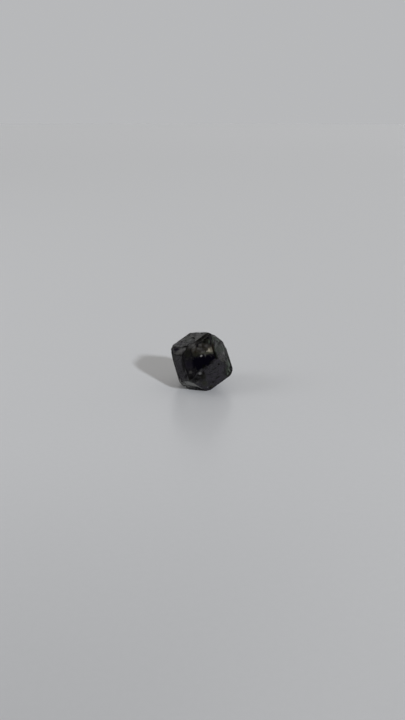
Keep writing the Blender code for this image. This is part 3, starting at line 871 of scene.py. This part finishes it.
class Relief:
    """The crystal's fine shape: small moves of the points of its mesh, and what they leave."""

    def __init__(self, points, triangles, planes, balls):
        self.points = points
        self.normals = point_normals(points, triangles)
        self.face, self.level, self.apart = CrystalField(planes).measure(points)
        self.generator = np.random.default_rng(SURFACE_SEED)
        self.heights = np.zeros(len(points))
        self.shifts = np.zeros((len(points), 3))
        self.tone = np.zeros((len(points), 3))
        self.cover = np.zeros(len(points))
        self.wear = 1.0 - eased(self.apart, *WEAR_REACH)
        self.chip = self.find_chips(balls)
        self.grounded = points[:, 2] < GROUND_TOLERANCE
        low = points[:, 2] < LEDGE_HEIGHT + GROUND_TOLERANCE
        self.ledge = low & (self.level > GROUND_TOLERANCE) & ~self.grounded
        self.painted_floor_reflection = self.find_painted_reflection()
        broken = (self.chip >= 0) | self.ledge | self.grounded
        self.broken = broken.astype(float)
        self.open = ~broken & (self.level > -GROUND_TOLERANCE)

    def find_chips(self, balls):
        """Which ball scooped out each point, or -1."""
        chip = np.full(len(self.points), -1)
        for number, (centre, radius) in enumerate(balls):
            gap = np.abs(np.linalg.norm(self.points - np.array(centre), axis=1) - radius)
            chip[(gap < CHIP_SURFACE_TOLERANCE) & (self.level < -GROUND_TOLERANCE)] = number
        return chip

    def find_painted_reflection(self):
        """How much painted reflection of the lit floor each point takes: the top of the ledge, and
        a ragged patch beside it.
        """
        top = eased(self.points[:, 2] / LEDGE_HEIGHT, *LEDGE_PAINTED_REFLECTION_SPAN) * self.ledge
        gap = np.linalg.norm(self.points - PAINTED_REFLECTION_CORNER, axis=1)
        gap += layered_noise(self.points, PAINTED_REFLECTION_EDGE)
        return np.maximum(top, 1.0 - eased(gap, *PAINTED_REFLECTION_REACH))

    def wave_faces(self):
        """Slow swells of the open faces, dying out towards their edges."""
        share = eased(self.apart, 0.0, WAVE_MARGIN) * self.open
        self.heights += share * layered_noise(self.points, FACE_WAVES)

    def ripple_chips(self, balls):
        """Shell-shaped ripples that spread over each chip from where the blow fell."""
        for number, (centre, radius) in enumerate(balls):
            chosen = np.nonzero(self.chip == number)[0]
            if len(chosen) == 0:
                continue
            spots = self.points[chosen]
            blow = spots[spots[:, 2].argmax()]
            run = np.linalg.norm(spots - blow, axis=1)
            wobble = noise_at(spots, RIPPLE_WOBBLE_FREQUENCY, RIPPLE_FIRST_SEED + number)
            ripple = np.sin(math.tau * (run + RIPPLE_WOBBLE * wobble) / RIPPLE_LENGTH)
            self.heights[chosen] += RIPPLE_HEIGHT * (ripple + RIPPLE_SWELL * wobble)

    def sink(self, centre, outward, half_sizes, depth):
        """Press one small hollow into the surface."""
        level = np.cross((0.0, 0.0, 1.0), outward)
        level /= np.linalg.norm(level)
        rising = np.cross(outward, level)
        offsets = self.points - centre
        along = offsets @ level / half_sizes[0]
        up = offsets @ rising / half_sizes[1]
        out = offsets @ outward / half_sizes[0]
        hollow = np.clip(1.0 - (along ** 2 + up ** 2 + out ** 2), 0.0, 1.0)
        self.heights -= depth * hollow * self.open

    def pit_faces(self):
        """Small hollows that acid or growth left on the open faces."""
        candidates = np.nonzero(self.open & (self.apart > PIT_MARGIN))[0]
        for index in self.generator.choice(candidates, PIT_COUNT, replace=False):
            width = self.generator.uniform(*PIT_SIZES)
            shape = (width, width * self.generator.uniform(*PIT_SHAPES))
            depth = width * self.generator.uniform(*PIT_STEEPNESS)
            self.sink(self.points[index], self.normals[index], shape, depth)

    def bite(self, spot, outward, radius, depth):
        """Scoop a round hollow out of an edge or a corner, and hand back the points it moves."""
        centre = spot + outward * (radius - depth)
        offsets = self.points - centre
        height = offsets @ outward
        sideways = (offsets ** 2).sum(axis=1) - height ** 2
        within = (sideways < radius ** 2) & (height < 0.0) & ~self.grounded
        floor = -np.sqrt(np.maximum(radius ** 2 - sideways, 0.0))
        sunk = np.where(within, np.minimum(floor - height, 0.0), 0.0)
        self.shifts += np.maximum(sunk, -depth)[:, None] * outward
        return sunk < 0.0

    def nick_edges(self):
        """Small bites out of the worn edges."""
        candidates = np.nonzero((self.apart < NICK_MARGIN) & ~self.grounded & ~self.ledge)[0]
        for index in self.generator.choice(candidates, NICK_COUNT, replace=False):
            radius = self.generator.uniform(*NICK_SIZE_ROOTS) ** 2
            depth = radius * self.generator.uniform(*NICK_STEEPNESS)
            self.wear[self.bite(self.points[index], self.normals[index], radius, depth)] = 1.0

    def rub_corners(self):
        """Wide shallow bites that leave two corners blunt."""
        for place, towards, radius, depth in RUBBED_CORNERS:
            nearest = np.linalg.norm(self.points - place, axis=1).argmin()
            self.bite(self.points[nearest], np.array(towards), radius, depth)

    def splinter_ledge(self):
        """Splintery break around the foot's ledge."""
        self.heights += self.ledge * layered_noise(self.points, LEDGE_SPLINTERS)

    def scattered_marks(self):
        """Marks by chance, each with the face that it lies on."""
        draw = self.generator
        for face, count in SCATTERED_MARKS.items():
            for _mark in range(count):
                length = draw.uniform(*SCATTERED_SIZES)
                yield face, (
                    draw.uniform(-SCATTERED_REACH, SCATTERED_REACH, 2),
                    (length, length * draw.uniform(*SCATTERED_SHAPES)),
                    draw.uniform(-SCATTERED_TURN, SCATTERED_TURN),
                    SCATTERED_SOFTNESS,
                    SCATTERED_TONES[draw.integers(len(SCATTERED_TONES))],
                    draw.uniform(*SCATTERED_STRENGTHS),
                    draw.uniform(*SCATTERED_GRAININESS),
                )

    def paint_marks(self, planes):
        """Lay the marks over the faces: their mixed tone, and how much of the stone they cover."""
        drifts = [noise_at(self.points, MARK_DRIFT_FREQUENCY, seed) for seed in MARK_DRIFT_SEEDS]
        places = self.points + np.stack(drifts, axis=1) * MARK_DRIFT
        speckle = layered_noise(self.points, MARK_SPECKLE)
        grains = eased(speckle, *MARK_GRAIN_SPAN)
        numbers = {name: number for number, name in enumerate(planes)}
        placed = ((face, mark) for face, marks in MARKS.items() for mark in marks)
        for face, mark in itertools.chain(placed, self.scattered_marks()):
            spot, half_sizes, turn, softness, tone, strength, graininess = mark
            chosen = np.nonzero(self.face == numbers[face])[0]
            outward, distance = planes[face]
            level, rising = face_frame(outward)
            offsets = places[chosen] - np.array(CRYSTAL_CENTRE + outward * distance)
            along = offsets @ np.array(level) - spot[0]
            up = offsets @ np.array(rising) - spot[1]
            cosine, sine = math.cos(math.radians(turn)), math.sin(math.radians(turn))
            across = (along * cosine + up * sine) / half_sizes[0]
            over = (up * cosine - along * sine) / half_sizes[1]
            reach = np.hypot(across, over) + MARK_RAGGEDNESS * speckle[chosen]
            share = 1.0 - eased(reach, 1.0 - softness, 1.0 + softness)
            share *= strength * (1.0 - graininess * (1.0 - grains[chosen]))
            self.tone[chosen] += share[:, None] * (np.array(TONES[tone]) - self.tone[chosen])
            self.cover[chosen] += share * (1.0 - self.cover[chosen])

    def finished_points(self):
        """The points, moved by the relief and held above the ground."""
        heights = np.where(self.grounded, 0.0, self.heights)
        moved = self.points + self.normals * heights[:, None] + self.shifts
        moved[:, 2] = np.maximum(moved[:, 2], 0.0)
        return moved


def carved_relief(planes, worn_edge):
    """The crystal's fine triangles, and the relief that is worked into them."""
    mesh = cleaved_block(planes, Vector((0.0, 0.0, 0.0)), 0.0)
    wear_edges(mesh, worn_edge)
    body = form_from(mesh, CRYSTAL_PIECE)
    added = [growth_plate(planes, plate) for plate in GROWTH_PLATES]
    added.append(foot_ledge())
    balls = [chip_ball(planes, chip) for chip in CHIPS]
    solid = combined(body, added, [chip_cutter(ball) for ball in balls])
    points, triangles = fine_triangles(solid, np.random.default_rng(SURFACE_SEED))
    solid.free()
    relief = Relief(points, triangles, planes, balls)
    relief.wave_faces()
    relief.ripple_chips(balls)
    relief.pit_faces()
    relief.nick_edges()
    relief.rub_corners()
    relief.splinter_ledge()
    relief.paint_marks(planes)
    return triangles, relief


def crystal_mesh(shape):
    """The whole dressed crystal as one mesh, in metres."""
    triangles, relief = carved_relief(crystal_planes(), shape.worn_edge / MM)
    data = bpy.data.meshes.new(CRYSTAL_PIECE)
    data.from_pydata((relief.finished_points() * MM).tolist(), [], triangles.tolist())
    data.validate()
    for name, values in (
        ("wear", relief.wear),
        ("broken", relief.broken),
        ("painted_floor_reflection", relief.painted_floor_reflection),
        ("mark_cover", relief.cover),
    ):
        attribute = data.attributes.new(name, "FLOAT", "POINT")
        attribute.data.foreach_set("value", values.astype(np.float32))
    attribute = data.attributes.new("mark_tone", "FLOAT_COLOR", "POINT")
    tones = np.concatenate([relief.tone, np.ones((len(relief.tone), 1))], axis=1)
    attribute.data.foreach_set("color", tones.astype(np.float32).ravel())
    data.shade_smooth()
    data.set_sharp_from_angle(angle=SHARP_ANGLE)
    return data


def carries_vector(item):
    """Whether an item is a link that carries a vector or a colour."""
    return isinstance(item, Link) and item.socket.type in ("VECTOR", "RGBA")


class Link:
    """One output of a shader node. Arithmetic on it adds Math and Vector Math nodes."""

    def __init__(self, tree, socket=None):
        self.tree = tree
        self.socket = socket

    def node(self, kind, settings=None, inputs=None, output=0):
        """Add a node: its settings first, then the values or links of its sockets."""
        made = self.tree.nodes.new(kind)
        for name, value in (settings or {}).items():
            setattr(made, name, value)
        for name, value in (inputs or {}).items():
            if isinstance(value, Link):
                self.tree.links.new(value.socket, made.inputs[name])
            else:
                made.inputs[name].default_value = value
        return Link(self.tree, made.outputs[output])

    def calculate(self, operation, first, second):
        """One sum on two links, or on a link and a plain value."""
        inputs = {0: first, 1: second}
        if not carries_vector(first) and not carries_vector(second):
            return self.node("ShaderNodeMath", {"operation": operation}, inputs)
        if operation == "MULTIPLY" and not carries_vector(second):
            operation, inputs = "SCALE", {0: first, "Scale": second}
        return self.node("ShaderNodeVectorMath", {"operation": operation}, inputs)

    def __add__(self, other):
        return self.calculate("ADD", self, other)

    def __radd__(self, other):
        return self.calculate("ADD", self, other)

    def __sub__(self, other):
        return self.calculate("SUBTRACT", self, other)

    def __rsub__(self, other):
        return self.calculate("SUBTRACT", other, self)

    def __mul__(self, other):
        return self.calculate("MULTIPLY", self, other)

    def __rmul__(self, other):
        return self.calculate("MULTIPLY", self, other)

    def larger(self, other):
        """The larger of two values."""
        return self.calculate("MAXIMUM", self, other)

    def eased(self, start, end):
        """0 up to start, 1 from end on, and smooth between them."""
        return self.node(
            "ShaderNodeMapRange",
            {"interpolation_type": "SMOOTHSTEP", "clamp": True},
            {"Value": self, "From Min": start, "From Max": end},
        )

    def mixed(self, other, share):
        """This colour, giving way to another one as share goes from 0 to 1."""
        return self.node(
            "ShaderNodeMix",
            {"data_type": "RGBA", "clamp_factor": True},
            {0: share, 6: self, 7: other},
            output=2,
        )

    def cloudy(self, frequency, detail, roughness):
        """A cloudy pattern from 0 to 1 over this place."""
        return self.node(
            "ShaderNodeTexNoise",
            None,
            {"Vector": self, "Scale": frequency, "Detail": detail, "Roughness": roughness},
        )

    def carried(self, name, output="Fac"):
        """A value that the mesh carries at its points."""
        return self.node("ShaderNodeAttribute", {"attribute_name": name}, output=output)

    def plain_colour(self, value):
        """One colour, to start a mix from."""
        made = self.node("ShaderNodeRGB")
        made.socket.default_value = opaque(value)
        return made


def opaque(value):
    """A colour with full alpha."""
    return (*value, 1.0)


def stone_material(finish):
    """Nearly black glassy stone under a thin weathered skin, with marks of several tones, some of
    them painted light and shade.
    """
    material = bpy.data.materials.new("garnet_stone_dressed")
    material.use_nodes = True
    tree = material.node_tree
    tree.nodes.clear()
    start = Link(tree)
    place = start.node("ShaderNodeTexCoord", output="Object") * (1.0 / MM)
    cover = start.carried("mark_cover")
    clouds = place.cloudy(*CLOUDS)
    grain = place.cloudy(*GRAIN)
    grains = grain.eased(*GRAIN_SPAN)

    # The clean stone and its dusty film, the marks over them (some of them painted light), then
    # the painted reflection of the lit floor on the foot, then worn edges.
    dark = start.plain_colour(finish.body_colour)
    film = start.plain_colour(finish.film_colour)
    tone = dark.mixed(film, clouds.eased(*FILM_SPAN) * grains)
    skin = clouds.eased(*SKIN_SPAN) * SKIN_FROM_CLOUDS + grains * SKIN_FROM_GRAIN
    tone = tone * (1.0 - cover) + start.carried("mark_tone", output="Color")
    skin = skin.larger(cover)
    # Painted reflection: a pale tone on the foot where it would mirror the lit floor.
    painted_floor_reflection = start.carried("painted_floor_reflection") * PAINTED_REFLECTION_STRENGTH
    tone = tone.mixed(opaque(TONES["painted_floor_reflection"]), painted_floor_reflection)
    skin = skin.larger(painted_floor_reflection)
    worn = clouds.eased(*EDGE_SPAN) * EDGE_SKIN + EDGE_SKIN_LEAST
    edge = start.carried("wear") * worn * (1.0 - cover)
    tone = tone.mixed(opaque(TONES["soot"]), edge)
    skin = skin.larger(edge)

    rough = finish.gloss_roughness + grain.eased(*ROUGHNESS_SPAN) * ROUGHNESS_FROM_GRAIN
    rough = rough + start.carried("broken") * ROUGHNESS_FROM_BREAK
    height = grain * BUMP_FROM_GRAIN + place.cloudy(*SPECKS) * BUMP_FROM_SPECKS
    height = height + place.cloudy(*PORES) * BUMP_FROM_PORES
    bump = start.node(
        "ShaderNodeBump",
        None,
        {"Strength": 1.0, "Distance": BUMP_DISTANCE * MM, "Height": height},
    )
    clean = start.node(
        "ShaderNodeBsdfPrincipled",
        None,
        {"Base Color": tone, "Roughness": rough, "IOR": CLEAN_IOR, "Normal": bump},
    )
    dull = start.node(
        "ShaderNodeBsdfPrincipled",
        None,
        {
            "Base Color": tone,
            "Roughness": SKIN_ROUGHNESS,
            "Specular IOR Level": 0.0,
            "Normal": bump,
        },
    )
    surface = start.node("ShaderNodeMixShader", None, {0: skin, 1: clean, 2: dull})
    output = tree.nodes.new("ShaderNodeOutputMaterial")
    tree.links.new(surface.socket, output.inputs["Surface"])
    return material


def direction_of(azimuth, elevation):
    """A direction by compass: azimuth 0 towards the viewer, 90 to the viewer's right."""
    turn, rise = math.radians(azimuth), math.radians(elevation)
    level = math.cos(rise)
    return Vector((math.sin(turn) * level, -math.cos(turn) * level, math.sin(rise)))


def studio_surroundings(stage):
    """A pale backdrop, an even fill light, and a dark room with glows for gloss to mirror."""
    world = bpy.data.worlds.new("studio_surroundings")
    world.use_nodes = True
    world.cycles.sampling_method = "NONE"
    bpy.context.scene.world = world
    tree = world.node_tree
    start = Link(tree)
    way = start.node("ShaderNodeTexCoord", output="Generated")
    light = ROOM_LIGHT
    for azimuth, elevation, inner, outer, strength in ROOM_GLOWS:
        facing = start.node(
            "ShaderNodeVectorMath",
            {"operation": "DOT_PRODUCT"},
            {0: way, 1: tuple(direction_of(azimuth, elevation))},
            output="Value",
        )
        edge, core = math.cos(math.radians(outer)), math.cos(math.radians(inner))
        light = light + facing.eased(edge, core) * strength
    room = start.node("ShaderNodeCombineColor", None, {0: light, 1: light, 2: light})
    fill = start.plain_colour([stage.fill_light * part for part in FILL_TINT])
    paper = start.plain_colour(stage.backdrop_colour)
    mirrored = start.node("ShaderNodeLightPath", output="Is Glossy Ray")
    seen = start.node("ShaderNodeLightPath", output="Is Camera Ray")
    result = fill.mixed(room, mirrored).mixed(paper, seen)
    tree.links.new(result.socket, tree.nodes["Background"].inputs["Color"])


def paper_material(stage):
    """Pale paper with a faint pulp, and painted shade that makes it a little darker towards the
    viewer.
    """
    material = bpy.data.materials.new("pale_paper")
    material.use_nodes = True
    tree = material.node_tree
    shader = tree.nodes["Principled BSDF"]
    shader.inputs["Roughness"].default_value = FLOOR_ROUGHNESS
    shader.inputs["IOR"].default_value = FLOOR_IOR
    start = Link(tree)
    place = start.node("ShaderNodeTexCoord", output="Object")
    towards_viewer = start.node("ShaderNodeSeparateXYZ", None, {0: place}, output="Y") * -1.0
    # Painted shade: the paper darkens towards the viewer.
    painted_shade = towards_viewer.eased(*FLOOR_PAINTED_SHADE_SPAN) * FLOOR_PAINTED_SHADE
    pulp = opaque([part * PULP_SHADE for part in stage.floor_colour])
    tone = start.plain_colour(stage.floor_colour).mixed(pulp, place.cloudy(*PULP))
    tone = tone * (1.0 - painted_shade)
    tree.links.new(tone.socket, shader.inputs["Base Color"])
    return material


def studio_floor(stage):
    """A wide, level, pale surface with a soft sheen."""
    mesh = bmesh.new()
    bmesh.ops.create_circle(mesh, cap_ends=True, segments=FLOOR_SEGMENTS, radius=FLOOR_RADIUS)
    floor = form_from(mesh, "studio_floor")
    floor.data.materials.append(paper_material(stage))


def studio_light(name, kind, energy, towards):
    """One light that shines from a direction. Gloss mirrors the room's glows in its place."""
    light = bpy.data.lights.new(name, kind)
    light.energy = energy
    item = bpy.data.objects.new(name, light)
    item.rotation_euler = towards.to_track_quat("Z", "Y").to_euler()
    item.visible_glossy = False
    bpy.context.scene.collection.objects.link(item)
    return item


def studio_lights(stage):
    """A small strong light from the front right, and a wide soft one from the left."""
    key = studio_light("key_light", "SUN", stage.key_light, KEY_DIRECTION.normalized())
    key.data.angle = math.radians(KEY_WIDTH)
    key.data.color = KEY_TINT
    side = studio_light("side_light", "AREA", stage.side_light, SIDE_LIGHT_PLACE)
    side.data.shape = "DISK"
    side.data.size = SIDE_LIGHT_SIZE
    side.location = SIDE_LIGHT_PLACE


def studio_camera():
    """A camera close by, looking down on the crystal a little."""
    camera = bpy.data.cameras.new("camera")
    camera.lens = CAMERA_LENS
    camera.sensor_width = CAMERA_SENSOR
    camera.clip_start = CAMERA_NEAREST
    item = bpy.data.objects.new("camera", camera)
    right = Vector((1.0, 0.0, 0.0))
    back = direction_of(0.0, CAMERA_ELEVATION)
    up = back.cross(right)
    aim = CRYSTAL_CENTRE + right * AIM_RIGHT + up * AIM_UP
    item.location = (aim + back * CAMERA_DISTANCE) * MM
    item.rotation_euler = Matrix((right, up, back)).transposed().to_euler()
    bpy.context.scene.collection.objects.link(item)
    bpy.context.scene.camera = item


class GarnetShape(bpy.types.PropertyGroup):
    """Sizes of the crystal that a user would change."""

    worn_edge: bpy.props.FloatProperty(
        name="Worn edge",
        description="Width of the rounded strip along every edge of the crystal",
        default=0.00006,
        min=0.0,
        precision=5,
        subtype="DISTANCE",
        unit="LENGTH",
    )


class GarnetFinish(bpy.types.PropertyGroup):
    """Colours and gloss of the stone."""

    body_colour: bpy.props.FloatVectorProperty(
        name="Body colour",
        description="Colour of the clean stone between the film and the marks",
        default=(0.0035, 0.0030, 0.0048),
        min=0.0,
        max=1.0,
        subtype="COLOR",
    )
    film_colour: bpy.props.FloatVectorProperty(
        name="Film colour",
        description="Colour of the thin dusty film in clouds over the faces",
        default=(0.022, 0.021, 0.021),
        min=0.0,
        max=1.0,
        subtype="COLOR",
    )
    gloss_roughness: bpy.props.FloatProperty(
        name="Gloss roughness",
        description="Roughness of the cleanest crystal faces",
        default=0.10,
        min=0.0,
        max=1.0,
        subtype="FACTOR",
    )


class GarnetStage(bpy.types.PropertyGroup):
    """Light and colours of the studio stage."""

    floor_colour: bpy.props.FloatVectorProperty(
        name="Floor colour",
        description="Colour of the paper that the crystal stands on",
        default=(0.764, 0.775, 0.797),
        min=0.0,
        max=1.0,
        subtype="COLOR",
    )
    backdrop_colour: bpy.props.FloatVectorProperty(
        name="Backdrop colour",
        description="Colour seen beyond the floor",
        default=(0.475, 0.48, 0.49),
        min=0.0,
        max=1.0,
        subtype="COLOR",
    )
    key_light: bpy.props.FloatProperty(
        name="Key light",
        description="Strength of the small light from the front right",
        default=1.98,
        min=0.0,
    )
    fill_light: bpy.props.FloatProperty(
        name="Fill light",
        description="Strength of the even light from all round",
        default=0.276,
        min=0.0,
    )
    side_light: bpy.props.FloatProperty(
        name="Side light",
        description="Power of the wide soft light from the left",
        default=0.45,
        min=0.0,
        unit="POWER",
    )


class GARNET_OT_crystal(bpy.types.Operator):
    """Build the dressed garnet crystal in the place of the plain solid"""

    bl_idname = "garnet.crystal"
    bl_label = "Garnet Crystal"

    def execute(self, context):
        crystal = bpy.data.objects.new(CRYSTAL_PIECE, crystal_mesh(context.scene.garnet_shape))
        context.scene.collection.objects.link(crystal)
        crystal.data.materials.append(stone_material(context.scene.garnet_finish))
        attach(crystal, "root")
        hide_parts(CRYSTAL_NODE)
        return {"FINISHED"}


class GARNET_OT_stage(bpy.types.Operator):
    """Set the pale floor, the studio light and the camera"""

    bl_idname = "garnet.stage"
    bl_label = "Studio Stage"

    def execute(self, context):
        stage = context.scene.garnet_stage
        studio_floor(stage)
        studio_surroundings(stage)
        studio_lights(stage)
        studio_camera()
        context.scene.view_settings.view_transform = "Standard"
        return {"FINISHED"}


class GARNET_PT_panel(bpy.types.Panel):
    """The garnet's operators and values in the sidebar"""

    bl_idname = "GARNET_PT_panel"
    bl_label = "Rough Garnet"
    bl_space_type = "VIEW_3D"
    bl_region_type = "UI"
    bl_category = "Garnet"

    def draw(self, context):
        for group, name in GROUPS.items():
            values = getattr(context.scene, name)
            for value in group.__annotations__:
                self.layout.prop(values, value)
        for operator in OPERATORS:
            self.layout.operator(operator.bl_idname)


GROUPS = {
    GarnetShape: "garnet_shape",
    GarnetFinish: "garnet_finish",
    GarnetStage: "garnet_stage",
}
OPERATORS = (GARNET_OT_crystal, GARNET_OT_stage)


def register():
    """Make the groups, operators and panel known to Blender."""
    for group, name in GROUPS.items():
        bpy.utils.register_class(group)
        setattr(bpy.types.Scene, name, bpy.props.PointerProperty(type=group))
    for operator in OPERATORS:
        bpy.utils.register_class(operator)
    bpy.utils.register_class(GARNET_PT_panel)


def unregister():
    """Take them away again."""
    bpy.utils.unregister_class(GARNET_PT_panel)
    for operator in reversed(OPERATORS):
        bpy.utils.unregister_class(operator)
    for group, name in GROUPS.items():
        delattr(bpy.types.Scene, name)
        bpy.utils.unregister_class(group)


def main():
    """Build everything."""
    register()
    bpy.ops.garnet.stage()
    bpy.ops.garnet.crystal()


if __name__ == "__main__":
    main()
